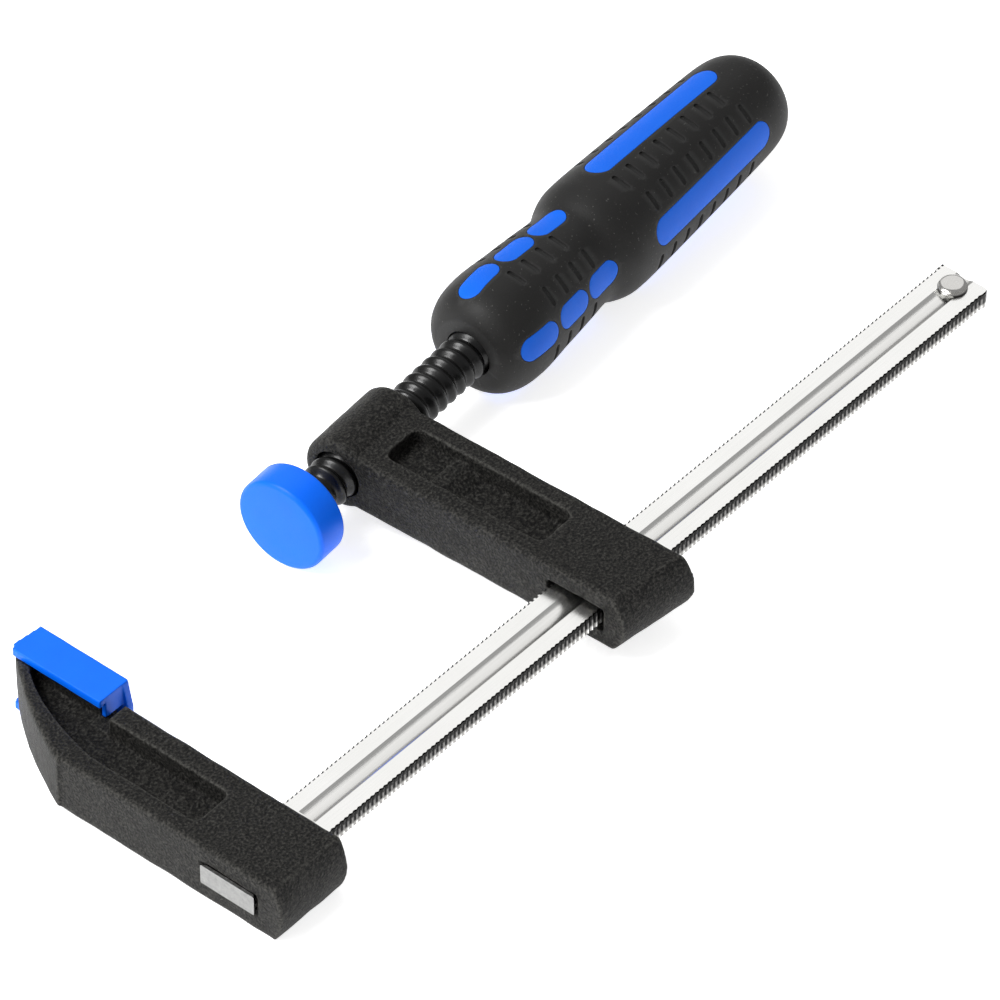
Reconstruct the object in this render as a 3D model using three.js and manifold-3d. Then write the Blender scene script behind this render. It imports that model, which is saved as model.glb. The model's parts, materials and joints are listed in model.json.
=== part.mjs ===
// Small bar clamp (F clamp): a fixed jaw peened onto a flat bar, and a sliding arm
// whose screw carries a swivel pad and a two-colour handle. Millimetres.
//
// Frame: the origin is the centre of the fixed clamping face. +X runs along the bar
// towards its free end, +Y runs from the bar towards the tips of the jaws, and +Z is
// square to the flat of the clamp.

import * as THREE from 'three';
import { mergeVertices } from 'three/addons/utils/BufferGeometryUtils.js';
import Module from 'manifold-3d';

const wasm = await Module();
wasm.setup();

// ---------------------------------------------------------------- driving dimensions

const GAP = 0.3;                       // clearance between pieces that touch
const REACH = 57;                      // clamping axis to the middle of the bar
const CASTING_HALF = 6.7;              // half thickness of both castings
const WEB_HALF = 1.9;                  // half thickness of the web between the pockets

const BAR = {
  width: 12, thickness: 4, freeEnd: 197.4, peenedEnd: -23.7, peen: 0.7,
  toothPitch: 1.25, toothDepth: 0.4, teethFrom: -1, grooveHalf: 2.1, grooveDepth: 0.55,
};
const RIVET = { x: 193.3, shank: 1.8, collar: 3.05, head: 2.8, height: 1.3 };

const JAW = {
  inner: -4.2, outer: -23.3, end: -68.1, bulge: 2, edge: 0.85,
  tipX: -6.7, tipY: 12, backBend: -14, backX: -23.7,
};
const POCKET = { inner: -9.3, outer: -18.8, end: -45, corner: 1.8 };
const POCKET_TIP = { top: 7.6, shoulder: [-8.9, 6.2], control: [-14.8, -1.4], bend: [-18, -15] };
const HEAD = { front: -1.9, back: -6.6, low: -9.6, high: 10.7, half: 6.2 };
const CAP = { back: -7.1, low: -11.1, crown: -12.3, high: 11.4, half: 8, wall: 1.4, face: 1.6 };

const BOSS = { x: 84.5, y: 2.5, radius: 8, half: 10.15 };
const ARM = { rock: 1.8, left: -9.9, right: 9.2, end: -69.5, bulge: 3.3, slant: 8.1, edge: 1.1 };
const SLOT = { half: 6.9, halfHeight: 2.9 };

const SCREW = { tilt: 4.2, radius: 5, root: 4.05, tip: -16.5, shoulder: 31.5, tangEnd: 98 };
const PAD = { front: -28.3, back: -20.9, radius: 10.3, ball: 2.6, ballAt: -22.4, neck: 1.7 };
const HANDLE = { nose: 33.2, tail: 132.7, skin: 2 };
const WINDOWS = { firstAngle: -16.6, rows: 4, rise: 0.2, longWidth: 5.9, shortWidth: 5 };

// ------------------------------------------------------------------- shape helpers

const degrees = THREE.MathUtils.degToRad;

/** Turns a closed three.js geometry into a manifold solid. */
function solid(geometry) {
  const bare = geometry.clone();
  bare.deleteAttribute('normal');
  bare.deleteAttribute('uv');
  const merged = mergeVertices(bare, 1e-4);
  const vertProperties = new Float32Array(merged.attributes.position.array);
  const triVerts = new Uint32Array(merged.index.array);
  return new wasm.Manifold(new wasm.Mesh({ numProp: 3, vertProperties, triVerts }));
}

/** Turns a manifold solid back into a three.js geometry. */
function geometryOf(manifold) {
  const mesh = manifold.getMesh();
  const geometry = new THREE.BufferGeometry();
  geometry.setAttribute('position', new THREE.BufferAttribute(mesh.vertProperties, 3));
  geometry.setIndex(new THREE.BufferAttribute(mesh.triVerts, 1));
  geometry.computeVertexNormals();
  return geometry;
}

/** A box between two corners. */
function box(low, high) {
  const size = high.map((value, axis) => value - low[axis]);
  const geometry = new THREE.BoxGeometry(...size);
  geometry.translate(...low.map((value, axis) => value + size[axis] / 2));
  return solid(geometry);
}

/** The same box above and below the middle plane, between two distances from it. */
function boxPair(low, high) {
  const above = box(low, high);
  return above.add(above.mirror([0, 0, 1]));
}

/** A plate with the given XY outline between two heights. */
function plate(shape, low, high, curveSegments = 8) {
  const options = { depth: high - low, bevelEnabled: false, curveSegments };
  const geometry = new THREE.ExtrudeGeometry(shape, options);
  geometry.translate(0, 0, low);
  return solid(geometry);
}

/** A casting blank: the XY outline at full thickness with its edges rounded over. */
function roundedBlank(shape, edge) {
  const options = {
    depth: 2 * (CASTING_HALF - edge), bevelEnabled: true, bevelThickness: edge,
    bevelSize: edge, bevelOffset: -edge, bevelSegments: 2, curveSegments: 8,
  };
  const geometry = new THREE.ExtrudeGeometry(shape, options);
  geometry.translate(0, 0, edge - CASTING_HALF);
  return solid(geometry);
}

/** A prism along X, between two X values, whose outline is drawn in Y and Z. */
function prismAlongX(shape, low, high, curveSegments = 12) {
  const options = { depth: high - low, bevelEnabled: false, curveSegments };
  const geometry = new THREE.ExtrudeGeometry(shape, options);
  geometry.translate(0, 0, low);
  geometry.applyMatrix4(new THREE.Matrix4().set(0, 0, 1, 0, 1, 0, 0, 0, 0, 1, 0, 0, 0, 0, 0, 1));
  return solid(geometry);
}

/** A solid of revolution about X from [x, radius] points. */
function turned(points, segments = 32) {
  const profile = points.map(([x, radius]) => new THREE.Vector2(radius, x));
  const geometry = new THREE.LatheGeometry(profile, segments);
  geometry.rotateZ(-Math.PI / 2);
  return solid(geometry);
}

/** A plain cylinder along X. */
function rodAlongX(low, high, radius, segments) {
  return turned([[low, 0], [low, radius], [high, radius], [high, 0]], segments);
}

/** A rectangle outline with rounded corners. */
function roundedRectangle(left, bottom, right, top, radius) {
  const shape = new THREE.Shape();
  shape.absarc(right - radius, bottom + radius, radius, -Math.PI / 2, 0);
  shape.absarc(right - radius, top - radius, radius, 0, Math.PI / 2);
  shape.absarc(left + radius, top - radius, radius, Math.PI / 2, Math.PI);
  shape.absarc(left + radius, bottom + radius, radius, Math.PI, Math.PI * 1.5);
  shape.closePath();
  return shape;
}

/** The envelope that crowns the bar end of a casting: flat above and below, an arc at the end. */
function crownedEnvelope(end, bulge, top) {
  const chord = CASTING_HALF;
  const radius = (chord * chord + bulge * bulge) / (2 * bulge);
  const sweep = Math.asin(chord / radius);
  const margin = 1;
  const shape = new THREE.Shape();
  shape.absarc(end - bulge + radius, 0, radius, Math.PI - sweep, Math.PI + sweep);
  shape.lineTo(end, -chord - margin);
  shape.lineTo(top, -chord - margin);
  shape.lineTo(top, chord + margin);
  shape.lineTo(end, chord + margin);
  shape.closePath();
  return prismAlongX(shape, -40, 40);
}

function part(name, geometry, color, roughness, metalness) {
  const material = new THREE.MeshStandardMaterial({ color, roughness, metalness });
  const mesh = new THREE.Mesh(geometry, material);
  mesh.name = name;
  return mesh;
}

const IRON = [0x2e2e30, 0.75, 0.3];
const NICKEL = [0xe6e4de, 0.22, 1];
const BLACK_STEEL = [0x121214, 0.3, 0.8];
const BLUE = [0x0a6cff, 0.4, 0];
const RUBBER = [0x1d1d1e, 0.8, 0];

// -------------------------------------------------------------------------- the bar

/** Flat bar: toothed along both edges, a shallow groove along both faces, one end peened. */
function bar() {
  const edge = BAR.width / 2;
  const face = BAR.thickness / 2;
  const corner = 1;
  const teeth = Math.floor((BAR.freeEnd - 2 * corner - BAR.teethFrom) / BAR.toothPitch);
  const toothAt = (i) => BAR.teethFrom + i * BAR.toothPitch;
  const shape = new THREE.Shape();
  shape.moveTo(BAR.peenedEnd, -edge);
  for (let i = 0; i < teeth; i += 1) {
    shape.lineTo(toothAt(i), -edge);
    shape.lineTo(toothAt(i) + BAR.toothPitch / 2, -edge + BAR.toothDepth);
  }
  shape.lineTo(toothAt(teeth), -edge);
  shape.lineTo(BAR.freeEnd - corner, -edge);
  shape.lineTo(BAR.freeEnd, -edge + corner);
  shape.lineTo(BAR.freeEnd, edge);
  shape.lineTo(toothAt(teeth), edge);
  for (let i = teeth - 1; i >= 0; i -= 1) {
    shape.lineTo(toothAt(i) + BAR.toothPitch / 2, edge - BAR.toothDepth);
    shape.lineTo(toothAt(i), edge);
  }
  shape.lineTo(BAR.peenedEnd, edge);
  shape.closePath();
  const spread = box(
    [BAR.peenedEnd, -edge - BAR.peen, -face - BAR.peen / 2],
    [BAR.peenedEnd + BAR.peen, edge + BAR.peen, face + BAR.peen / 2],
  );
  let body = plate(shape, -face, face).add(spread);

  const { grooveHalf, grooveDepth } = BAR;
  const grooveRadius = (grooveHalf ** 2 + grooveDepth ** 2) / (2 * grooveDepth);
  const groove = rodAlongX(BAR.teethFrom, BAR.freeEnd + 1, grooveRadius, 36);
  const height = face - grooveDepth + grooveRadius;
  body = body.subtract(groove.translate([0, 0, height]));
  body = body.subtract(groove.translate([0, 0, -height]));
  const hole = rodAlongX(-10, 10, RIVET.shank + GAP, 16).rotate([0, 90, 0]);
  body = body.subtract(hole.translate([RIVET.x, 0, 0]));
  return geometryOf(body.translate([0, -REACH, 0]));
}

/** Rivet through the free end of the bar: it stops the arm from sliding off. */
function stopRivet() {
  const face = BAR.thickness / 2 + 0.05;
  const half = [
    [face, RIVET.shank], [face, RIVET.collar], [face + 0.4, RIVET.collar],
    [face + 0.6, RIVET.head], [face + 1.05, RIVET.head - 0.25],
    [face + RIVET.height, RIVET.head - 0.9], [face + RIVET.height, 0],
  ];
  const mirrored = half.map(([x, radius]) => [-x, radius]).reverse();
  const rivet = turned([...mirrored, ...half], 20).rotate([0, -90, 0]);
  return geometryOf(rivet.translate([RIVET.x, -REACH, 0]));
}

// -------------------------------------------------------------------- the fixed jaw

/** Cast jaw: a pocketed arm, a curved tip and a plain head that the cap fits over. */
function fixedJaw() {
  const pastEnd = JAW.end - JAW.bulge - 3;
  const outline = new THREE.Shape();
  outline.moveTo(JAW.outer, pastEnd);
  outline.lineTo(JAW.inner, pastEnd);
  outline.lineTo(JAW.inner, HEAD.low - 1);
  outline.lineTo(HEAD.front, HEAD.low);
  outline.lineTo(HEAD.front, HEAD.high + JAW.edge);
  outline.lineTo(JAW.tipX, JAW.tipY);
  outline.quadraticCurveTo(-16.6, 1.9, JAW.backX, JAW.backBend);
  outline.lineTo(JAW.outer, JAW.backBend - 0.4);
  outline.closePath();
  let casting = roundedBlank(outline, JAW.edge);
  casting = casting.intersect(crownedEnvelope(JAW.end, JAW.bulge, JAW.tipY + 5));

  const { inner, outer, end, corner } = POCKET;
  const pocket = new THREE.Shape();
  pocket.moveTo(inner, end + corner);
  pocket.lineTo(inner, HEAD.low);
  pocket.lineTo(HEAD.back, HEAD.low);
  pocket.lineTo(HEAD.back, POCKET_TIP.top);
  pocket.lineTo(...POCKET_TIP.shoulder);
  pocket.quadraticCurveTo(...POCKET_TIP.control, ...POCKET_TIP.bend);
  pocket.lineTo(outer, POCKET_TIP.bend[1] - 4);
  pocket.lineTo(outer, end + corner);
  pocket.quadraticCurveTo(outer, end, outer + corner, end);
  pocket.lineTo(inner - corner, end);
  pocket.quadraticCurveTo(inner, end, inner, end + corner);
  const hollow = plate(pocket, WEB_HALF, CASTING_HALF + 1);
  casting = casting.subtract(hollow).subtract(hollow.mirror([0, 0, 1]));

  // The head is thinner than the arm, and a notch beside it clears the cap's end wall.
  const beyond = { x: 2, y: 14, z: CASTING_HALF + 1 };
  const notch = { from: -8.6, half: 5.3 };
  const wallPocket = { from: -9.4, low: -14.3, half: 2.3 };
  const thinned = boxPair([notch.from, HEAD.low, HEAD.half], [beyond.x, beyond.y, beyond.z]);
  const lipRoom = boxPair(
    [notch.from, HEAD.low, notch.half],
    [HEAD.back - GAP, beyond.y, HEAD.half + 1],
  );
  const wallRoom = boxPair(
    [wallPocket.from, wallPocket.low, wallPocket.half],
    [beyond.x, HEAD.low, beyond.z],
  );
  casting = casting.subtract(thinned).subtract(lipRoom).subtract(wallRoom);

  const edge = BAR.width / 2 + GAP;
  const bore = BAR.thickness / 2 + GAP;
  const flare = BAR.peen + 0.1;
  casting = casting.subtract(box([-40, -REACH - edge, -bore], [5, -REACH + edge, bore]));
  casting = casting.subtract(box(
    [-40, -REACH - edge - flare, -bore - flare / 2],
    [BAR.peenedEnd + BAR.peen + GAP, -REACH + edge + flare, bore + flare / 2],
  ));
  return geometryOf(casting);
}

/** Push-on plastic cap of the fixed jaw: a face plate, two legs with lips and one end wall. */
function jawCap() {
  const inner = CAP.half - CAP.wall;
  const face = new THREE.Shape();
  face.moveTo(CAP.low, -CAP.half);
  face.lineTo(CAP.high, -CAP.half);
  face.lineTo(CAP.high, CAP.half);
  face.lineTo(CAP.low, CAP.half);
  face.lineTo(CAP.crown, 2);
  face.lineTo(CAP.crown, -2);
  face.closePath();
  const leg = new THREE.Shape();
  leg.moveTo(-CAP.face - 0.1, CAP.low);
  leg.lineTo(0, CAP.low);
  leg.lineTo(0, CAP.high);
  leg.lineTo(CAP.back, CAP.high + 0.8);
  leg.lineTo(CAP.back, CAP.low);
  leg.closePath();
  const legs = plate(leg, inner, CAP.half);
  const lips = boxPair([CAP.back - 1, CAP.low, inner - 0.5], [CAP.back + 0.1, CAP.high, CAP.half]);
  const wall = boxPair([CAP.back + 0.6, CAP.low, 2.6], [-0.8, CAP.low + 1.1, inner + 0.1]);
  const cap = prismAlongX(face, -CAP.face, 0).add(legs).add(legs.mirror([0, 0, 1]));
  return geometryOf(cap.add(lips).add(wall));
}

// ------------------------------------------------------------------ the sliding arm

/** Cast arm in its own frame: the boss is at the origin and the arm runs down -Y. */
function slidingJaw() {
  const outline = new THREE.Shape();
  const pastEnd = ARM.end - ARM.bulge - 5;
  outline.moveTo(ARM.left, pastEnd);
  outline.lineTo(ARM.right, pastEnd);
  outline.lineTo(ARM.right, 0);
  outline.lineTo(ARM.left, 0);
  outline.closePath();
  const crown = crownedEnvelope(0, ARM.bulge, 90).rotate([0, 0, -ARM.slant]);
  const casting = roundedBlank(outline, ARM.edge).intersect(crown.translate([0, ARM.end, 0]));

  const bossEdge = 1.1;
  const rim = [
    [BOSS.half - bossEdge, BOSS.radius], [BOSS.half - 0.35, BOSS.radius - 0.35],
    [BOSS.half, BOSS.radius - bossEdge], [BOSS.half, 0],
  ];
  const mirrored = rim.map(([x, radius]) => [-x, radius]).reverse();
  const boss = turned([...mirrored, ...rim], 36).rotate([0, 0, SCREW.tilt - ARM.rock]);

  // Seen from the side, the pocket has a shallow floor, a cross rib, a ramp and a deep floor.
  const rib = { top: 4, from: -18.5, to: -21.2 };
  const pocketTop = -8.6;
  const pocketEnd = -47.6;
  const floor = new THREE.Shape();
  floor.moveTo(pocketTop, CASTING_HALF + 1);
  floor.lineTo(pocketTop, 3);
  floor.lineTo(rib.from + 0.5, 3);
  floor.lineTo(rib.from, rib.top);
  floor.lineTo(rib.to, rib.top);
  floor.lineTo(-25, WEB_HALF);
  floor.lineTo(pocketEnd, WEB_HALF);
  floor.lineTo(pocketEnd, CASTING_HALF + 1);
  floor.closePath();
  const plan = roundedRectangle(ARM.left + 4.7, pocketEnd, ARM.right - 4.5, pocketTop, 1.9);
  const hollow = plate(plan, 0, CASTING_HALF + 1, 4).intersect(prismAlongX(floor, -20, 20));

  const barAt = -REACH - BOSS.y;
  const slot = box(
    [-20, barAt - SLOT.half, -SLOT.halfHeight],
    [20, barAt + SLOT.half, SLOT.halfHeight],
  );
  const bore = rodAlongX(-20, 20, SCREW.radius + GAP, 28).rotate([0, 0, SCREW.tilt - ARM.rock]);
  const pocketed = casting.subtract(hollow).subtract(hollow.mirror([0, 0, 1]));
  return geometryOf(pocketed.add(boss).subtract(slot).subtract(bore));
}

// ------------------------------------------------- the screw, in its own frame along X

/** Threaded rod at its major diameter, with a flattened tang inside the handle. */
function spindle() {
  const rod = turned([
    [SCREW.tip, 0], [SCREW.tip, SCREW.root], [SCREW.tip + 1.5, SCREW.radius],
    [SCREW.shoulder, SCREW.radius], [SCREW.shoulder + 1, SCREW.root],
    [SCREW.tangEnd - 1, SCREW.root], [SCREW.tangEnd, SCREW.root - 1], [SCREW.tangEnd, 0],
  ], 24);
  const flat = boxPair([HANDLE.nose + 30, -10, 2.8], [HANDLE.nose + 55, 10, 10]);
  return geometryOf(rod.subtract(flat));
}

/** Ball end of the screw: it thrusts on the pad and lets the pad tilt. */
function ballTip() {
  const { ball, ballAt, neck } = PAD;
  const steps = 6;
  const neckAngle = Math.asin(neck / ball);
  const arc = Array.from({ length: steps + 1 }, (_, i) => {
    const angle = Math.PI - (i / steps) * (Math.PI - neckAngle);
    return [ballAt + ball * Math.cos(angle), i === 0 ? 0 : ball * Math.sin(angle)];
  });
  return geometryOf(turned([
    ...arc, [-18.2, neck], [-17.7, SCREW.root - 0.9], [-16.9, SCREW.root],
    [SCREW.tip - 0.1, SCREW.root], [SCREW.tip - 0.1, 0],
  ], 20));
}

/** Steel pad: a flat disc whose collar is crimped round the ball. */
function padPlate() {
  const socket = PAD.ball + GAP;
  const steps = 5;
  const mouth = 2.3;
  const mouthAngle = Math.asin(mouth / socket);
  const cavity = Array.from({ length: steps + 1 }, (_, i) => {
    const angle = mouthAngle + (i / steps) * (Math.PI - mouthAngle);
    return [PAD.ballAt + socket * Math.cos(angle), i === steps ? 0 : socket * Math.sin(angle)];
  });
  const face = PAD.front + 2;
  return geometryOf(turned([
    [face, 0], [face, 8.6], [face + 0.4, 9], [face + 1.6, 9], [face + 2, 8.6],
    [face + 2.4, 5.6], [-21.4, 4.9], [-19.3, 4.9], [-18.9, 4.4], [-18.9, mouth + 0.5],
    ...cavity,
  ], 28));
}

/** Push-on plastic cap of the pad: a cup whose rim grips behind the disc. */
function padCap() {
  const { front, back, radius } = PAD;
  return geometryOf(turned([
    [front, 0], [front, radius - 1], [front + 0.3, radius - 0.3], [front + 1, radius],
    [back - 0.8, radius], [back - 0.2, radius - 0.3], [back, radius - 0.9],
    [back, 6.4], [back - 1.2, 6.4], [back - 1.8, 9.3], [front + 1.7, 9.3], [front + 1.7, 0],
  ], 36));
}

// ------------------------------------------------------------------------ the handle

/** The handle's outer radius along its axis, nose first: a waist near the middle. */
const HANDLE_PROFILE = [
  [HANDLE.nose, 7.5], [HANDLE.nose + 1, 9.6], [HANDLE.nose + 3, 11.4], [39.2, 12.4],
  [44, 12.8], [51.3, 12.2], [66.2, 11.05], [68.7, 11.35], [71.3, 12.6], [74, 13.4],
  [80, 13.5], [106.8, 12.4], [125, 11.35], [129, 10.1], [131.4, 8], [HANDLE.tail, 4],
  [HANDLE.tail, 0],
];

/** The same profile moved inwards, with both ends pulled in by the same amount. */
function insetProfile(inset) {
  const low = HANDLE.nose + inset;
  const high = HANDLE.tail - inset;
  const kept = HANDLE_PROFILE.filter(([x, radius]) => x > low && x < high && radius > inset);
  const first = [low, kept[0][1] - inset - 1];
  const last = [high, 6];
  return [[low, 0], first, ...kept.map(([x, radius]) => [x, radius - inset]), last, [high, 0]];
}

/** Window places: [start along the axis, end, width]. */
const WINDOW_SIZES = [
  [79.5, 120.4, WINDOWS.longWidth],
  [36.2, 46.8, WINDOWS.shortWidth],
  [48.2, 58, WINDOWS.shortWidth],
  [59, 68.6, WINDOWS.shortWidth],
];

/** All the handle's windows as radial plugs, grown by a margin. */
function windowPlugs(margin) {
  const plugs = [];
  for (let row = 0; row < WINDOWS.rows; row += 1) {
    const angle = WINDOWS.firstAngle + row * (360 / WINDOWS.rows);
    for (const [start, end, width] of WINDOW_SIZES) {
      const half = width / 2 + margin;
      const outline = roundedRectangle(start - margin, -half, end + margin, half, half - 0.01);
      plugs.push(plate(outline, 7, 20, 3).rotate([angle, 0, 0]));
    }
  }
  return plugs.reduce((all, plug) => all.add(plug));
}

/** Hard blue core moulded round the tang: its pads stand up through the grip's windows. */
function handleCore() {
  const body = turned(insetProfile(HANDLE.skin + GAP), 20);
  const skin = turned(insetProfile(-WINDOWS.rise), 24);
  const pads = windowPlugs(0).intersect(skin);
  const bore = rodAlongX(0, SCREW.tangEnd + 1, SCREW.radius + GAP, 20);
  return geometryOf(body.add(pads).subtract(bore));
}

/** Soft black grip over the core, open at the nose for the screw. */
function gripSleeve() {
  const outer = turned([[HANDLE.nose, 0], ...HANDLE_PROFILE], 28);
  const hollow = turned(insetProfile(HANDLE.skin), 20);
  const nose = rodAlongX(0, 60, SCREW.radius + GAP, 20);
  return geometryOf(outer.subtract(hollow).subtract(nose).subtract(windowPlugs(GAP)));
}

// -------------------------------------------------------------------------- assembly

const clamp = new THREE.Group();
clamp.add(part('bar', bar(), ...NICKEL));
clamp.add(part('fixed_jaw', fixedJaw(), ...IRON));
clamp.add(part('jaw_cap', jawCap(), ...BLUE));
clamp.add(part('stop_rivet', stopRivet(), ...NICKEL));

const arm = new THREE.Group();
arm.position.set(BOSS.x, BOSS.y, 0);
arm.rotation.z = degrees(ARM.rock);
arm.add(part('sliding_jaw', slidingJaw(), ...IRON));
clamp.add(arm);

const screw = new THREE.Group();
screw.position.set(BOSS.x, BOSS.y, 0);
screw.rotation.z = degrees(SCREW.tilt);
screw.add(part('spindle', spindle(), ...BLACK_STEEL));
screw.add(part('ball_tip', ballTip(), ...BLACK_STEEL));
screw.add(part('pad_plate', padPlate(), ...NICKEL));
screw.add(part('pad_cap', padCap(), ...BLUE));
screw.add(part('handle_core', handleCore(), ...BLUE));
screw.add(part('grip_sleeve', gripSleeve(), ...RUBBER));
clamp.add(screw);

export default clamp;
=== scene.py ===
import json
import math

import bmesh
import bpy
import numpy as np
from mathutils import Matrix, Vector, noise


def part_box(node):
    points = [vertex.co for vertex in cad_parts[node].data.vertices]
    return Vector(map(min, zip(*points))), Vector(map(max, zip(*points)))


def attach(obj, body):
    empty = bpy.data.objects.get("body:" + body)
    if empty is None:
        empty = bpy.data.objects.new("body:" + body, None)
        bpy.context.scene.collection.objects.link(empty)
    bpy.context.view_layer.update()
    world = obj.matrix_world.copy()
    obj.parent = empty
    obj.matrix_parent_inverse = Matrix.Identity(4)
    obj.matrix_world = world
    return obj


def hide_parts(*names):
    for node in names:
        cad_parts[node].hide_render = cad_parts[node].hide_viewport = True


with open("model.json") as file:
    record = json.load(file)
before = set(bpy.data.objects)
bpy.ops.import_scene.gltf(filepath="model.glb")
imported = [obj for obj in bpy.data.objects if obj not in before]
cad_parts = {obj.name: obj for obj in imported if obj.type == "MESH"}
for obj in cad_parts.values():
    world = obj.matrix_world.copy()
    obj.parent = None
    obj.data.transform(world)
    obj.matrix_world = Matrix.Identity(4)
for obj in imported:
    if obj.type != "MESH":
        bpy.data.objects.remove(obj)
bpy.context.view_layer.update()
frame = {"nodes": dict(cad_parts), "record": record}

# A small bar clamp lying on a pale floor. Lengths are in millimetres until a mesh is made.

MM = 0.001

# ------------------------------------------------------------ dimensions from the frame


def box_mm(node):
    """A CAD node's lowest and highest corners, in millimetres."""
    low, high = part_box(node)
    return Vector(low) / MM, Vector(high) / MM


JOINTS = {joint["name"]: joint for joint in frame["record"]["behaviour"]["joints"]}

# The screw's own frame: origin at the middle of the boss, X running out to the handle.
SCREW_AXIS = -Vector(JOINTS["screw_turn"]["axis"]).normalized()
SCREW_ORIGIN = Vector(JOINTS["screw_turn"]["pos_m"])
SCREW_FRAME = (
    Matrix.Translation(SCREW_ORIGIN)
    @ Matrix.Rotation(math.atan2(SCREW_AXIS.y, SCREW_AXIS.x), 4, "Z")
)

BAR_LOW, BAR_HIGH = box_mm("bar")
BAR_MIDDLE = (BAR_LOW.y + BAR_HIGH.y) / 2
BAR_HALF_WIDTH = 6.0
BAR_HALF_THICKNESS = 2.0
PEEN = BAR_HIGH.y - BAR_MIDDLE - BAR_HALF_WIDTH
TOOTH_PITCH = 1.25
TOOTH_DEPTH = 0.26
TEETH_FROM = -1.0
TEETH_TO = BAR_HIGH.x - 2.0
GROOVE_HALF = 2.1
GROOVE_DEPTH = 0.55
BAR_CHAMFER = 0.22
BAR_CORNER = 1.0
FLARE_LENGTH = 0.9
BARE_LENGTH = 0.8

THREAD_PITCH = 3.0
THREAD_CREST = 5.0
THREAD_ROOT = 4.0
THREAD_FROM = -16.5
THREAD_RUN_IN = 2.2
THREAD_POINTED = 0.6
THREAD_IN_HANDLE = 4.0

# The ball and the pad, along the screw's axis.
BALL_AT = -22.4
BALL_RADIUS = 2.6
NECK_RADIUS = 1.7
SOCKET_GAP = 0.3
PLATE_RADIUS = 9.0
COLLAR_BACK = -18.9
PAD_FRONT = -28.3
PAD_BACK = -20.9
PAD_RADIUS = 10.3
PAD_INSIDE = 9.3
PAD_MOUTH = 6.4

# The handle's outer radius along the screw's axis, nose first.
HANDLE_NOSE = 33.2
HANDLE_TAIL = 132.7
HANDLE_PROFILE = [
    (HANDLE_NOSE, 7.5), (33.6, 8.9), (34.6, 10.2), (36.2, 11.4), (39.2, 12.4),
    (43.5, 12.75), (47, 12.6), (51.3, 12.2), (56.4, 11.85), (61.3, 11.45), (66.2, 11.05),
    (68.7, 11.35), (71.3, 12.5), (74, 13.3), (77, 13.47), (80, 13.45), (91.4, 13.05),
    (106.8, 12.4), (117, 11.9), (122.3, 11.6), (125, 11.3), (127.5, 10.7), (129.6, 9.6),
    (131.2, 8.0), (132.2, 5.9), (132.6, 3.2), (HANDLE_TAIL, 0),
]
GRIP_THICKNESS = 2.0
GRIP_BORE = THREAD_CREST + 0.25
CORE_GAP = 0.3
PADS_BELOW = 0.02
# Windows: start and end along the axis, and width.
WINDOW_FIRST = -16.6
WINDOW_ROWS = 4
WINDOW_GAP = 0.12
LONG_WINDOW = (79.5, 120.4, 6.1)
SHORT_WINDOWS = [(36.2, 46.8, 5.2), (48.2, 58.0, 5.2), (59.0, 68.6, 5.2)]

# Finger grooves: degrees from the middle between two windows, first place, how many.
GROOVE_ROWS = [(-15, 80.5, 8), (15, 83.0, 8), (-17, 46.0, 4), (16, 48.5, 4)]
FINGER_PITCH = 4.75
FINGER_LENGTH = 1.25
FINGER_WIDTH = 4.6
FINGER_DEPTH = 0.55
BEYOND_GRIP = 20

# ------------------------------------------------------------------------- mesh helpers


def mesh_object(name, points, faces):
    """A mesh object from points in millimetres."""
    mesh = bpy.data.meshes.new(name)
    mesh.from_pydata([Vector(point) * MM for point in points], [], faces)
    mesh.validate()
    mesh.update()
    obj = bpy.data.objects.new(name, mesh)
    bpy.context.scene.collection.objects.link(obj)
    return obj


def loft(name, rings):
    """A closed body through rings with the same number of points; a ring of one point is a tip."""
    points, starts = [], []
    for ring in rings:
        starts.append(len(points))
        points.extend(ring)
    faces = []
    for start, following, near, far in zip(starts, starts[1:], rings, rings[1:]):
        count = max(len(near), len(far))
        for i in range(count):
            j = (i + 1) % count
            if len(near) == 1:
                faces.append((start, following + i, following + j))
            elif len(far) == 1:
                faces.append((start + i, following, start + j))
            else:
                faces.append((start + i, following + i, following + j, start + j))
    if len(rings[0]) > 1:
        faces.append(tuple(range(len(rings[0]))))
    if len(rings[-1]) > 1:
        faces.append(tuple(starts[-1] + i for i in reversed(range(len(rings[-1])))))
    obj = mesh_object(name, points, faces)
    outward(obj)
    return obj


def outward(obj):
    """Points every face's normal out of the body."""
    work = bmesh.new()
    work.from_mesh(obj.data)
    bmesh.ops.recalc_face_normals(work, faces=work.faces)
    work.to_mesh(obj.data)
    work.free()


def circle(x, radius, segments):
    """A ring round the X axis, or one point on it."""
    if radius < 1e-6:
        return [(x, 0, 0)]
    steps = [2 * math.pi * i / segments for i in range(segments)]
    return [(x, radius * math.cos(a), radius * math.sin(a)) for a in steps]


def turned(name, profile, segments=96):
    """A body of revolution about X from (x, radius) points, placed in the screw's frame."""
    obj = loft(name, [circle(x, radius, segments) for x, radius in profile])
    obj.data.transform(SCREW_FRAME)
    return obj


def smooth_profile(points, step):
    """Points along a smooth curve through the given (x, radius) points."""
    spots = [Vector(point) for point in points]
    result = []
    for i in range(len(spots) - 1):
        before = spots[max(i - 1, 0)]
        start, end = spots[i], spots[i + 1]
        after = spots[min(i + 2, len(spots) - 1)]
        length = (end - start).length
        leave = (end - before) / max((end - before).length, 1e-9) * length
        arrive = (after - start) / max((after - start).length, 1e-9) * length
        count = max(1, round(length / step))
        for k in range(count):
            t = k / count
            ease = 3 * t * t - 2 * t ** 3
            spot = start.lerp(end, ease)
            spot += leave * (t ** 3 - 2 * t * t + t) + arrive * (t ** 3 - t * t)
            result.append((spot.x, max(spot.y, 0)))
    result.append(points[-1])
    return result


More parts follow.
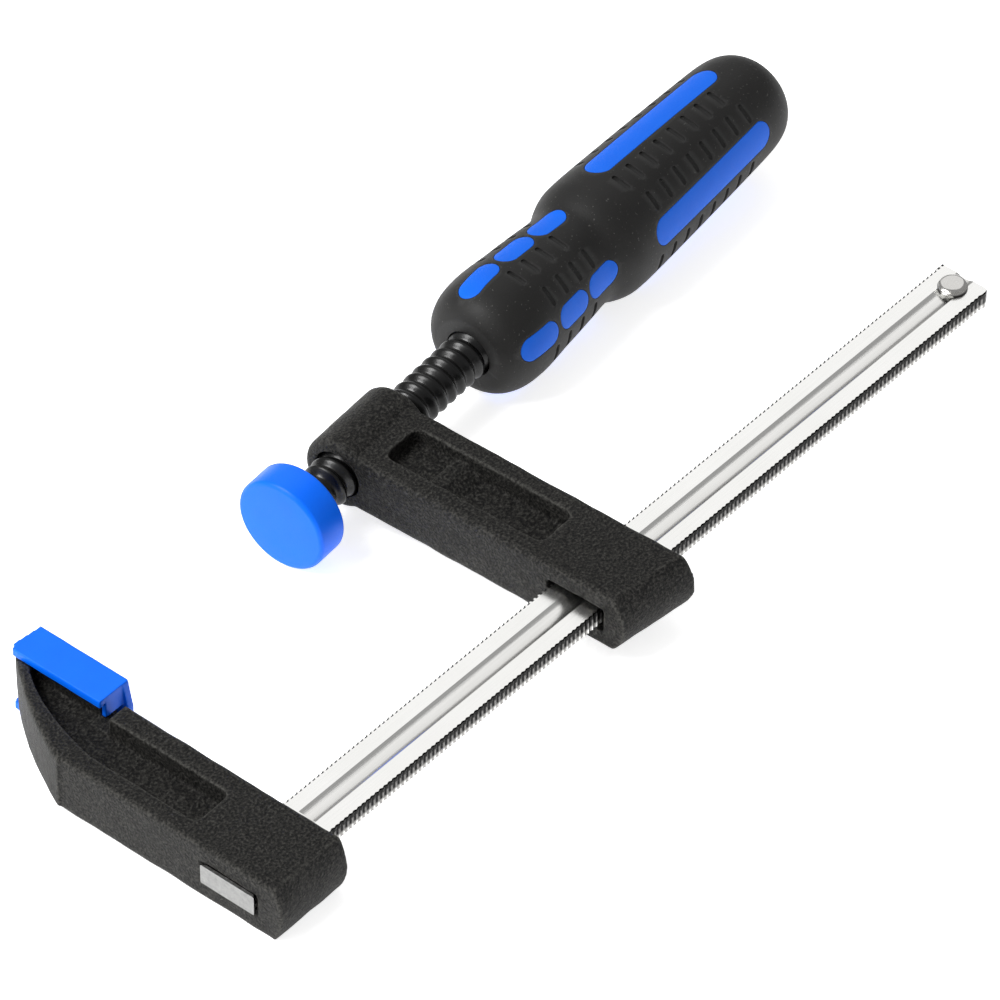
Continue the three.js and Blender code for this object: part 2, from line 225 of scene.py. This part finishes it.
def evaluated(obj):
    """Replaces the object's mesh by what its modifiers make of it."""
    graph = bpy.context.evaluated_depsgraph_get()
    mesh = bpy.data.meshes.new_from_object(obj.evaluated_get(graph))
    obj.modifiers.clear()
    obj.data = mesh


def boolean(obj, other, operation):
    """Cuts, joins or intersects two bodies and removes the second."""
    modifier = obj.modifiers.new("boolean", "BOOLEAN")
    modifier.object = other
    modifier.operation = operation
    modifier.solver = "MANIFOLD"
    bpy.context.view_layer.update()
    evaluated(obj)
    bpy.data.objects.remove(other)


def joined(name, objects):
    """One object from several meshes."""
    work = bmesh.new()
    for obj in objects:
        work.from_mesh(obj.data)
        bpy.data.objects.remove(obj)
    mesh = bpy.data.meshes.new(name)
    work.to_mesh(mesh)
    work.free()
    result = bpy.data.objects.new(name, mesh)
    bpy.context.scene.collection.objects.link(result)
    return result


def bevelled(obj, width, angle, segments=2):
    """Rounds the edges that are sharper than the angle, in degrees."""
    modifier = obj.modifiers.new("bevel", "BEVEL")
    modifier.width = width * MM
    modifier.segments = segments
    modifier.limit_method = "ANGLE"
    modifier.angle_limit = math.radians(angle)
    bpy.context.view_layer.update()
    evaluated(obj)


def skin_of(node, name, voxel, passes, swell):
    """A CAD node's shape with its edges softened and its surface gently uneven."""
    obj = bpy.data.objects.new(name, frame["nodes"][node].data.copy())
    bpy.context.scene.collection.objects.link(obj)
    modifier = obj.modifiers.new("remesh", "REMESH")
    modifier.mode = "VOXEL"
    modifier.voxel_size = voxel * MM
    smooth = obj.modifiers.new("smooth", "SMOOTH")
    smooth.factor = 0.5
    smooth.iterations = passes
    bpy.context.view_layer.update()
    evaluated(obj)
    obj.data.materials.clear()
    wave = 4.0
    sunk = 0.4
    count = len(obj.data.vertices)
    places = np.empty(count * 3, np.float32)
    normals = np.empty(count * 3, np.float32)
    obj.data.vertices.foreach_get("co", places)
    obj.data.vertex_normals.foreach_get("vector", normals)
    places, normals = places.reshape(-1, 3), normals.reshape(-1, 3)
    wander = np.array([noise.noise(Vector(place) / (wave * MM)) for place in places])
    places += normals * ((wander - sunk) * swell * MM)[:, None]
    obj.data.vertices.foreach_set("co", places.ravel())
    obj.data.update()
    return obj


def put(obj, body, nodes, material, angle=35):
    """Gives a finished piece its material, its shading and its body, and hides the CAD nodes it
    stands for.
    """
    obj.data.materials.clear()
    obj.data.materials.append(material)
    obj.data.polygons.foreach_set("use_smooth", [True] * len(obj.data.polygons))
    obj.data.set_sharp_from_angle(angle=math.radians(angle))
    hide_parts(*nodes)
    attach(obj, body)


# ---------------------------------------------------------------------------- materials


class Look:
    """A material whose nodes are made by short calls."""

    def __init__(self, name):
        self.material = bpy.data.materials.new(name)
        self.material.use_nodes = True
        self.tree = self.material.node_tree
        self.shader = self.tree.nodes["Principled BSDF"]
        self.place = self.node("ShaderNodeTexCoord").outputs["Object"]

    def node(self, kind, **values):
        """A new node with the given settings."""
        made = self.tree.nodes.new(kind)
        for key, value in values.items():
            setattr(made, key, value)
        return made

    def link(self, source, target):
        """Joins an output to an input."""
        self.tree.links.new(source, target)

    def set(self, **values):
        """Sets the shader's own values; an underscore stands for a space."""
        for key, value in values.items():
            self.shader.inputs[key.replace("_", " ")].default_value = value

    def noise(self, size, detail=3.0, stretch=(1, 1, 1), roughness=0.55):
        """Noise whose blotches are about the given size, in millimetres."""
        mapping = self.node("ShaderNodeMapping")
        mapping.inputs["Scale"].default_value = [1 / (size * MM * s) for s in stretch]
        self.link(self.place, mapping.inputs["Vector"])
        texture = self.node("ShaderNodeTexNoise")
        texture.inputs["Scale"].default_value = 1
        texture.inputs["Detail"].default_value = detail
        texture.inputs["Roughness"].default_value = roughness
        self.link(mapping.outputs["Vector"], texture.inputs["Vector"])
        return texture.outputs["Fac"]

    def tooth_wave(self, along):
        """A wave along the bar: 1 on a tooth's crest, -1 in the gap between two teeth."""
        turns = self.math("MULTIPLY", along, 2 * math.pi / (TOOTH_PITCH * MM))
        start = 2 * math.pi * TEETH_FROM / TOOTH_PITCH
        return self.math("COSINE", self.math("SUBTRACT", turns, start))

    def spread(self, value, low, high, to_low, to_high):
        """Maps a value from one range to another and clamps it."""
        made = self.node("ShaderNodeMapRange")
        made.inputs["From Min"].default_value = low
        made.inputs["From Max"].default_value = high
        made.inputs["To Min"].default_value = to_low
        made.inputs["To Max"].default_value = to_high
        self.link(value, made.inputs["Value"])
        return made.outputs["Result"]

    def mix(self, amount, first, second):
        """A colour between two, each given as a colour or as another node's output."""
        made = self.node("ShaderNodeMix", data_type="RGBA")
        self.link(amount, made.inputs[0])
        for socket, value in ((made.inputs[6], first), (made.inputs[7], second)):
            if isinstance(value, tuple):
                socket.default_value = (*value, 1)
            else:
                self.link(value, socket)
        return made.outputs[2]

    def math(self, operation, first, second=0):
        """One sum on two values, each a number or another node's output."""
        made = self.node("ShaderNodeMath", operation=operation)
        for socket, value in zip(made.inputs, (first, second)):
            if isinstance(value, (int, float)):
                socket.default_value = value
            else:
                self.link(value, socket)
        return made.outputs[0]

    def edges(self, low=0.52, high=0.62):
        """One on sharp outer edges and nought elsewhere."""
        made = self.node("ShaderNodeNewGeometry")
        return self.spread(made.outputs["Pointiness"], low, high, 0, 1)

    def bump(self, height, depth):
        """Relief of the given depth, in millimetres."""
        made = self.node("ShaderNodeBump")
        made.inputs["Distance"].default_value = depth * MM
        made.inputs["Strength"].default_value = 1
        self.link(height, made.inputs["Height"])
        if self.shader.inputs["Normal"].links:
            before = self.shader.inputs["Normal"].links[0].from_socket
            self.link(before, made.inputs["Normal"])
        self.link(made.outputs["Normal"], self.shader.inputs["Normal"])

    def position(self):
        """The place on the object, split into X, Y and Z, in metres."""
        made = self.node("ShaderNodeSeparateXYZ")
        self.link(self.place, made.inputs["Vector"])
        return made

    def colour(self, value):
        self.link(value, self.shader.inputs["Base Color"])

    def roughness(self, value):
        self.link(value, self.shader.inputs["Roughness"])


def cast_paint():
    """Textured black paint on cast iron: orange peel, pale grains, and a painted highlight on sharp
    edges.
    """
    look = Look("cast_paint")
    grain = look.noise(0.55, 4, roughness=0.65)
    specks = look.spread(look.noise(0.35, 2), 0.66, 0.74, 0, 1)
    broad = look.noise(9, 3)
    look.set(Specular_IOR_Level=0.14)
    body = look.mix(broad, (0.022, 0.0213, 0.019), (0.034, 0.033, 0.03))
    pits = look.spread(grain, 0.42, 0.56, 0.95, 0)
    body = look.mix(pits, body, (0.0032, 0.0032, 0.0034))
    body = look.mix(look.spread(grain, 0.55, 0.68, 0, 0.85), body, (0.068, 0.066, 0.061))
    body = look.mix(look.math("MULTIPLY", specks, 0.35), body, (0.085, 0.083, 0.078))
    # Painted highlight: sharp edges are drawn lighter, broken up by the grain.
    painted_edge_highlight = look.math("MULTIPLY", look.edges(0.505, 0.54), look.spread(grain, 0.4, 0.6, 0.2, 0.8))
    look.colour(look.mix(painted_edge_highlight, body, (0.085, 0.083, 0.076)))
    look.roughness(look.spread(grain, 0.3, 0.7, 0.42, 0.62))
    look.bump(look.noise(2.2, 2), 0.3)
    look.bump(grain, 0.5)
    return look.material


def bright_plating():
    """Nickel plating drawn along the bar: fine lines and faint clouding."""
    look = Look("bright_plating")
    lines = look.noise(0.25, 3, stretch=(80, 1, 1))
    cloud = look.noise(14, 3)
    look.set(Metallic=1.0)
    plain = look.mix(cloud, (0.87, 0.865, 0.84), (0.95, 0.945, 0.93))
    position = look.position()
    offset = look.math("SUBTRACT", position.outputs["Y"], BAR_MIDDLE * MM)
    # One wall of the groove is drawn darker, as if it mirrored a dark part of a room.
    hollow = look.spread(offset, -GROOVE_HALF * MM, GROOVE_HALF * MM, 0.5, 0.0)
    inside = look.spread(look.math("ABSOLUTE", offset), 2.0 * MM, 2.3 * MM, 1, 0)
    rim = look.spread(offset, -2.45 * MM, -2.2 * MM, 0, 1)
    shade = look.math("MULTIPLY", look.math("MULTIPLY", hollow, inside), rim)
    metal = look.mix(shade, plain, (0.42, 0.41, 0.385))
    # Painted shade: dark dashes where the tooth gaps break into the face along its +Y edge.
    margin = look.spread(offset, 5.3 * MM, 5.4 * MM, 0, 1)
    gap = look.spread(look.tooth_wave(position.outputs["X"]), -0.1, 0.3, 1, 0)
    look.colour(look.mix(look.math("MULTIPLY", margin, gap), metal, (0.03, 0.03, 0.029)))
    look.roughness(look.spread(lines, 0.3, 0.7, 0.14, 0.27))
    look.bump(lines, 0.01)
    return look.material


def toothed_edge():
    """The bar's toothed edges: bright ribs with dark oil and a painted shadow between them, and
    painted light and shade up and down the edge.
    """
    look = Look("toothed_edge")
    smear = look.noise(1.5, 3)
    position = look.position()
    # Dark between the teeth: oil and a painted shadow in the tooth gaps.
    rib = look.spread(look.tooth_wave(position.outputs["X"]), -0.2, 0.8, 0, 1)
    # Painted light and shade: the edge is drawn lighter along its bottom band and darker above it,
    # with its ribs darkest along the top band.
    lit_bottom_band = look.spread(position.outputs["Z"], -1.0 * MM, -0.4 * MM, 1, 0)
    shaded_top_band = look.spread(position.outputs["Z"], 0.7 * MM, 1.1 * MM, 0, 1)
    look.set(Metallic=0.9)
    dark = look.mix(lit_bottom_band, (0.006, 0.006, 0.006), (0.34, 0.33, 0.32))
    bright = look.mix(lit_bottom_band, (0.19, 0.185, 0.18), (0.86, 0.86, 0.84))
    bright = look.mix(shaded_top_band, bright, (0.02, 0.02, 0.019))
    look.colour(look.mix(rib, dark, bright))
    look.roughness(look.spread(smear, 0.3, 0.7, 0.25, 0.45))
    return look.material


def polished_rivet():
    """The rivet's turned head: bright with fine circular marks, and a painted shadow ring at its
    foot.
    """
    look = Look("polished_rivet")
    marks = look.noise(0.3, 3)
    look.set(Metallic=1.0)
    metal = look.mix(marks, (0.55, 0.54, 0.52), (0.78, 0.77, 0.75))
    # Painted shadow: a dark ring round the foot of the head, where it meets the bar.
    position = look.position()
    height = look.math("ABSOLUTE", position.outputs["Z"])
    dark_to = BAR_HALF_THICKNESS + 0.3
    bright_from = BAR_HALF_THICKNESS + 0.5
    painted_foot_shadow = look.spread(height, dark_to * MM, bright_from * MM, 1, 0)
    look.colour(look.mix(painted_foot_shadow, metal, (0.05, 0.05, 0.048)))
    look.roughness(look.spread(marks, 0.3, 0.7, 0.14, 0.22))
    return look.material


def bare_end():
    """The hammered end of the bar: bare, rough and dull."""
    look = Look("bare_end")
    dents = look.noise(1.1, 4)
    look.set(Metallic=0.85)
    look.colour(look.mix(dents, (0.16, 0.16, 0.16), (0.5, 0.5, 0.49)))
    look.roughness(look.spread(dents, 0.3, 0.7, 0.4, 0.65))
    look.bump(dents, 0.5)
    return look.material


def black_screw():
    """Oily blackened steel with slightly rubbed crests."""
    look = Look("black_screw")
    smear = look.noise(1.6, 3, stretch=(1, 3, 3))
    look.set(Specular_IOR_Level=0.3, Coat_Weight=0.12, Coat_Roughness=0.12)
    look.colour(look.mix(smear, (0.002, 0.002, 0.0022), (0.007, 0.007, 0.007)))
    look.roughness(look.spread(smear, 0.3, 0.7, 0.22, 0.42))
    look.bump(look.noise(0.5, 3), 0.03)
    return look.material


def blue_plastic(name, dark, light, rough):
    """Moulded blue plastic with a faint satin texture."""
    look = Look(name)
    cloud = look.noise(6, 3)
    fine = look.noise(0.3, 2)
    look.set(Specular_IOR_Level=0.22)
    look.colour(look.mix(cloud, dark, light))
    look.roughness(look.spread(fine, 0.3, 0.7, rough - 0.05, rough + 0.08))
    look.bump(fine, 0.012)
    return look.material


def grip_rubber():
    """Soft black grip: fine matt grain, a little dust and slightly greyed edges."""
    look = Look("grip_rubber")
    grain = look.noise(0.4, 4)
    dust = look.spread(look.noise(0.55, 1), 0.71, 0.75, 0, 1)
    patches = look.noise(12, 3)
    look.set(Specular_IOR_Level=0.28)
    body = look.mix(patches, (0.0075, 0.0075, 0.0075), (0.0165, 0.0158, 0.015))
    body = look.mix(look.math("MULTIPLY", dust, 0.3), body, (0.16, 0.16, 0.15))
    look.colour(look.mix(look.math("MULTIPLY", look.edges(), 0.3), body, (0.05, 0.05, 0.05)))
    look.roughness(look.spread(patches, 0.3, 0.7, 0.5, 0.62))
    look.bump(grain, 0.035)
    return look.material


PAINT = cast_paint()
PLATING = bright_plating()
TOOTHED = toothed_edge()
BARE = bare_end()
RIVET_METAL = polished_rivet()
SCREW = black_screw()
CAP_BLUE = blue_plastic("cap_blue", (0.0, 0.135, 0.93), (0.0, 0.16, 1.0), 0.4)
CORE_BLUE = blue_plastic("core_blue", (0.0, 0.115, 0.72), (0.0, 0.14, 0.8), 0.5)
RUBBER = grip_rubber()

# ------------------------------------------------------------------------------ the bar


def bar_section(x):
    """The bar's outline at one place along it: toothed edges, grooved faces, a flared end."""
    half = BAR_HALF_WIDTH
    thick = BAR_HALF_THICKNESS
    if TEETH_FROM < x < TEETH_TO:
        phase = (x - TEETH_FROM) / TOOTH_PITCH % 1
        half -= TOOTH_DEPTH * (1 - abs(2 * phase - 1)) ** 0.8
    flare = max(0.0, 1 - (x - BAR_LOW.x) / FLARE_LENGTH)
    half += PEEN * flare
    thick += PEEN / 2 * flare
    near = half
    to_end = BAR_HIGH.x - x
    if to_end < BAR_CORNER:
        near -= BAR_CORNER - math.sqrt(max(BAR_CORNER ** 2 - (BAR_CORNER - to_end) ** 2, 0))
    steps = 10
    outline = []
    for side in (1, -1):
        low, high = (-near, half) if side > 0 else (half, -near)
        outline.append((low, side * (thick - BAR_CHAMFER)))
        outline.append((low + side * BAR_CHAMFER, side * thick))
        for k in range(-steps, steps + 1):
            y = side * GROOVE_HALF * k / steps
            depth = GROOVE_DEPTH * (1 - (k / steps) ** 2) if x > TEETH_FROM else 0
            outline.append((y, side * (thick - depth)))
        outline.append((high - side * BAR_CHAMFER, side * thick))
        outline.append((high, side * (thick - BAR_CHAMFER)))
    return [(x, BAR_MIDDLE + y, z) for y, z in outline]


def build_bar():
    """The bar, lofted from sections that lie closest together along its teeth."""
    per_tooth = 6
    step = TOOTH_PITCH / per_tooth
    count = int((TEETH_TO - TEETH_FROM) / step)
    start = [BAR_LOW.x + k * 0.3 for k in range(5)] + [TEETH_FROM - 0.02]
    teeth = [TEETH_FROM + 0.01 + k * step for k in range(count)]
    end = [TEETH_TO + 0.02] + [BAR_HIGH.x - gap for gap in (1, 0.6, 0.3, 0.1, 0)]
    obj = loft("bar_toothed", [bar_section(x) for x in start + teeth + end])
    put(obj, "frame", ["bar"], PLATING, angle=24)
    obj.data.materials.append(BARE)
    obj.data.materials.append(TOOTHED)
    for face in obj.data.polygons:
        if face.center.x < (BAR_LOW.x + BARE_LENGTH) * MM:
            face.material_index = 1
        elif abs(face.normal.z) < 0.8 and abs(face.normal.x) < 0.9:
            face.material_index = 2


def build_rivet():
    """The stop rivet: a low collar with a domed head, the same on both faces of the bar."""
    low, high = box_mm("stop_rivet")
    centre = (low + high) / 2
    collar = (high.x - low.x) / 2
    face = BAR_HALF_THICKNESS + 0.05
    top = high.z
    half = [
        (face, collar), (face + 0.3, collar), (face + 0.42, collar - 0.12),
        (face + 0.46, collar - 0.25), (top - 0.32, collar - 0.32), (top - 0.1, collar - 0.6),
        (top, collar - 1.1), (top, 0),
    ]
    profile = [(-x, radius) for x, radius in reversed(half)] + half
    obj = loft("stop_rivet_head", [circle(x, radius, 48) for x, radius in profile])
    turn = Matrix.Rotation(-math.pi / 2, 4, "Y")
    obj.data.transform(Matrix.Translation(Vector((centre.x, centre.y, 0)) * MM) @ turn)
    put(obj, "frame", ["stop_rivet"], RIVET_METAL, angle=30)


# ------------------------------------------------------------------------- the castings


def build_castings():
    """Both cast arms and the jaw's moulded cap, softened from their CAD shapes."""
    jaw = skin_of("fixed_jaw", "fixed_jaw_casting", 0.32, 4, 0.12)
    put(jaw, "frame", ["fixed_jaw"], PAINT, angle=60)
    arm = skin_of("sliding_jaw", "sliding_arm_casting", 0.32, 4, 0.12)
    put(arm, "sliding_arm", ["sliding_jaw"], PAINT, angle=60)
    cap = skin_of("jaw_cap", "jaw_cap_moulding", 0.2, 3, 0.04)
    put(cap, "frame", ["jaw_cap"], CAP_BLUE, angle=60)


# ---------------------------------------------------------------------------- the screw


def build_screw():
    """The threaded rod as a true right-hand helix with rounded crests."""
    segments = 64
    step = THREAD_PITCH / 20
    to = HANDLE_NOSE + THREAD_IN_HANDLE
    rings = [[(THREAD_FROM, 0, 0)]]
    count = int((to - THREAD_FROM) / step)
    for k in range(count + 1):
        x = THREAD_FROM + k * step
        run_in = min(1.0, max(0.0, (x - THREAD_FROM) / THREAD_RUN_IN))
        ring = []
        for i in range(segments):
            angle = 2 * math.pi * i / segments
            crest = (1 + math.cos(2 * math.pi * x / THREAD_PITCH - angle)) / 2
            radius = THREAD_ROOT + (THREAD_CREST - THREAD_ROOT) * crest ** 0.7 * run_in
            radius -= THREAD_POINTED * (1 - run_in)
            ring.append((x, radius * math.cos(angle), radius * math.sin(angle)))
        rings.append(ring)
    rings.append([(to, 0, 0)])
    obj = loft("screw_thread", rings)
    obj.data.transform(SCREW_FRAME)
    put(obj, "screw", ["spindle"], SCREW, angle=60)


def arc(x, radius, start, end, steps, middle=0.0):
    """(x, radius) points on an arc whose centre is at (x, middle); angles in degrees from +X."""
    angles = [math.radians(start + (end - start) * i / steps) for i in range(steps + 1)]
    return [(x + radius * math.cos(a), middle + radius * math.sin(a)) for a in angles]


def build_tip():
    """The screw's ball end."""
    open_angle = math.degrees(math.asin(NECK_RADIUS / BALL_RADIUS))
    back = THREAD_FROM - 0.1
    tip = [(BALL_AT - BALL_RADIUS, 0)] + arc(BALL_AT, BALL_RADIUS, 175, open_angle, 24)
    tip += [(-18.2, NECK_RADIUS), (-17.7, 3.1), (-16.9, THREAD_ROOT), (back, THREAD_ROOT), (back, 0)]
    put(turned("screw_ball", tip, 64), "screw_tip", ["ball_tip"], SCREW)


def build_pad_plate():
    """The steel pad: a disc whose collar is crimped round the ball."""
    face = PAD_FRONT + 2
    edge = 0.4
    socket = BALL_RADIUS + SOCKET_GAP
    collar = [
        (face, 0), (face, PLATE_RADIUS - edge), (face + edge, PLATE_RADIUS),
        (face + 1.6, PLATE_RADIUS), (face + 2, PLATE_RADIUS - edge), (face + 2.3, 6.2),
        (BALL_AT, 5.0), (COLLAR_BACK - 0.5, 4.85), (COLLAR_BACK - 0.1, 4.6), (COLLAR_BACK, 4.2),
        (COLLAR_BACK, 2.9), (-20.6, 2.35),
    ]
    collar += arc(BALL_AT, socket, 52, 175, 16) + [(BALL_AT - socket, 0)]
    plate = turned("pad_plate_turned", collar, 72)
    put(plate, "pad", ["pad_plate"], PLATING)


def build_pad_cap():
    """The pad's plastic cap: a cup whose rim grips behind the disc."""
    round_front = 1.0
    round_back = 0.7
    inside = PAD_FRONT + 1.7
    cup = [(PAD_FRONT, 0), (PAD_FRONT, PAD_RADIUS * 0.5)]
    cup += arc(PAD_FRONT + round_front, round_front, 180, 90, 8, PAD_RADIUS - round_front)
    cup += arc(PAD_BACK - round_back, round_back, 90, 0, 6, PAD_RADIUS - round_back)
    cup += [(PAD_BACK, PAD_MOUTH + 0.2), (PAD_BACK - 0.2, PAD_MOUTH), (PAD_BACK - 1.2, PAD_MOUTH)]
    cup += [(PAD_BACK - 1.8, PAD_INSIDE), (inside, PAD_INSIDE), (inside, 0)]
    put(turned("pad_cap_moulding", cup, 128), "pad", ["pad_cap"], CAP_BLUE)


# --------------------------------------------------------------------------- the handle


def handle_radius(x):
    """The handle's outer radius at one place along it."""
    places = [point[0] for point in HANDLE_PROFILE]
    return float(np.interp(x, places, [point[1] for point in HANDLE_PROFILE]))


def capsule(along, across, low, high, angle, middle):
    """A radial plug with round ends: along and across the axis, between two radii."""
    half = min(along, across) / 2
    straight = Vector(((along - 2 * half) / 2, (across - 2 * half) / 2))
    steps = 10
    outline = []
    for quarter, (right, up) in enumerate(((1, 1), (-1, 1), (-1, -1), (1, -1))):
        for k in range(steps):
            a = math.radians(90 * (quarter + k / steps))
            outline.append((
                middle + right * straight.x + half * math.cos(a),
                up * straight.y + half * math.sin(a),
            ))
    rings = [[(x, y, z) for x, y in outline] for z in (low, high)]
    obj = loft("plug", rings)
    obj.data.transform(Matrix.Rotation(math.radians(angle), 4, "X"))
    return obj


def window_plugs(grow):
    """Plugs at every window of the grip, grown by a margin."""
    inside_core = 8
    plugs = []
    for row in range(WINDOW_ROWS):
        angle = WINDOW_FIRST + row * 360 / WINDOW_ROWS
        for start, end, width in [LONG_WINDOW, *SHORT_WINDOWS]:
            middle = (start + end) / 2
            size = (end - start + 2 * grow, width + 2 * grow)
            plugs.append(capsule(*size, inside_core, BEYOND_GRIP, angle, middle))
    return joined("plugs", plugs)


def tick_cutters():
    """Short finger grooves moulded across the grip, in two rows between each pair of windows."""
    ticks = []
    for row in range(WINDOW_ROWS):
        between = WINDOW_FIRST + (row + 0.5) * 360 / WINDOW_ROWS
        for offset, first, count in GROOVE_ROWS:
            for k in range(count):
                x = first + k * FINGER_PITCH
                bottom = handle_radius(x) - FINGER_DEPTH
                size = (FINGER_LENGTH, FINGER_WIDTH)
                ticks.append(capsule(*size, bottom, BEYOND_GRIP, between + offset, x))
    return joined("ticks", ticks)


def revolve_smooth(name, inset, segments, step=0.9):
    """The handle's outline, moved inwards, as a body of revolution about X."""
    profile = [(x, max(radius - inset, 0)) for x, radius in smooth_profile(HANDLE_PROFILE, step)]
    profile = [(x, r) for x, r in profile if HANDLE_NOSE + inset <= x <= HANDLE_TAIL - inset]
    closed = [(profile[0][0], 0), *profile[:-1], (profile[-1][0], 0)]
    return loft(name, [circle(x, radius, segments) for x, radius in closed])


def build_handle():
    """The grip with its windows and finger grooves, and the blue core that fills the windows."""
    sharp = 50
    grip = revolve_smooth("grip_moulding", 0, 144)
    hollow = revolve_smooth("hollow", GRIP_THICKNESS, 64, 3)
    boolean(grip, hollow, "DIFFERENCE")
    bore = loft("bore", [circle(x, GRIP_BORE, 48) for x in (20, 60)])
    boolean(grip, bore, "DIFFERENCE")
    boolean(grip, window_plugs(WINDOW_GAP), "DIFFERENCE")
    boolean(grip, tick_cutters(), "DIFFERENCE")
    grip.data.transform(SCREW_FRAME)
    bevelled(grip, 0.16, sharp)
    put(grip, "screw", ["grip_sleeve"], RUBBER, angle=40)

    pads = revolve_smooth("pads", PADS_BELOW, 144)
    boolean(pads, window_plugs(0), "INTERSECT")
    core = revolve_smooth("core", GRIP_THICKNESS + CORE_GAP, 64, 3)
    obj = joined("handle_core_moulding", [pads, core])
    obj.data.transform(SCREW_FRAME)
    bevelled(obj, 0.18, sharp)
    put(obj, "screw", ["handle_core"], CORE_BLUE, angle=40)


build_bar()
build_rivet()
build_castings()
build_screw()
build_tip()
build_pad_plate()
build_pad_cap()
build_handle()

# ------------------------------------------------------------- floor, light and camera


def build_floor():
    """A pale floor that touches the handle's barrel, the jaw's cap and the jaw's far end."""
    slope_x, slope_y, height = -0.0307, -0.0174, -8.45
    size = 4000
    corners = [(-size, -size), (size, -size), (size, size), (-size, size)]
    points = [(x, y, slope_x * x + slope_y * y + height) for x, y in corners]
    floor = mesh_object("floor", points, [(0, 1, 2, 3)])
    material = bpy.data.materials.new("floor_paper")
    material.use_nodes = True
    shader = material.node_tree.nodes["Principled BSDF"]
    shader.inputs["Base Color"].default_value = (0.9, 0.9, 0.9, 1)
    shader.inputs["Roughness"].default_value = 0.9
    shader.inputs["Emission Color"].default_value = (1, 1, 1, 1)
    shader.inputs["Emission Strength"].default_value = 0.75
    floor.data.materials.append(material)


def area_light(name, place, target, size, power):
    """A square soft light, placed in metres and turned towards the target."""
    light = bpy.data.lights.new(name, "AREA")
    light.size = size
    light.energy = power
    obj = bpy.data.objects.new(name, light)
    obj.location = place
    obj.rotation_euler = (Vector(target) - Vector(place)).to_track_quat("-Z", "Y").to_euler()
    bpy.context.scene.collection.objects.link(obj)


def build_light():
    """A key light, a fill from the front, a mirror card and an even grey room."""
    centre = (0.09, -0.027, 0)
    area_light("key", (-0.5, 0.35, 0.9), centre, 0.5, 12)
    area_light("front", (-1.1, 0.3, 0.45), centre, 0.4, 3)
    # A large card where the flat of the bar mirrors it into the camera.
    area_light("card", (0.87, 0.63, 0.97), centre, 1.25, 3.3)
    world = bpy.data.worlds.new("studio")
    world.use_nodes = True
    background = world.node_tree.nodes["Background"]
    background.inputs["Color"].default_value = (1, 1, 1, 1)
    background.inputs["Strength"].default_value = 0.34
    bpy.context.scene.world = world
    bpy.context.scene.view_settings.view_transform = "Standard"


def build_camera():
    """A long lens, level, looking down at the clamp from beyond the fixed jaw."""
    camera = bpy.data.cameras.new("camera")
    camera.lens = 348
    camera.sensor_width = 36
    camera.clip_end = 20
    obj = bpy.data.objects.new("camera", camera)
    place = Vector((-0.9472, -0.9125, 1.2942))
    right = Vector((0.64933, -0.76050, 0))
    up = Vector((0.52353, 0.44704, 0.72531))
    back = right.cross(up)
    obj.matrix_world = Matrix((
        (right.x, up.x, back.x, place.x),
        (right.y, up.y, back.y, place.y),
        (right.z, up.z, back.z, place.z),
        (0, 0, 0, 1),
    ))
    bpy.context.scene.collection.objects.link(obj)
    bpy.context.scene.camera = obj


build_floor()
build_light()
build_camera()
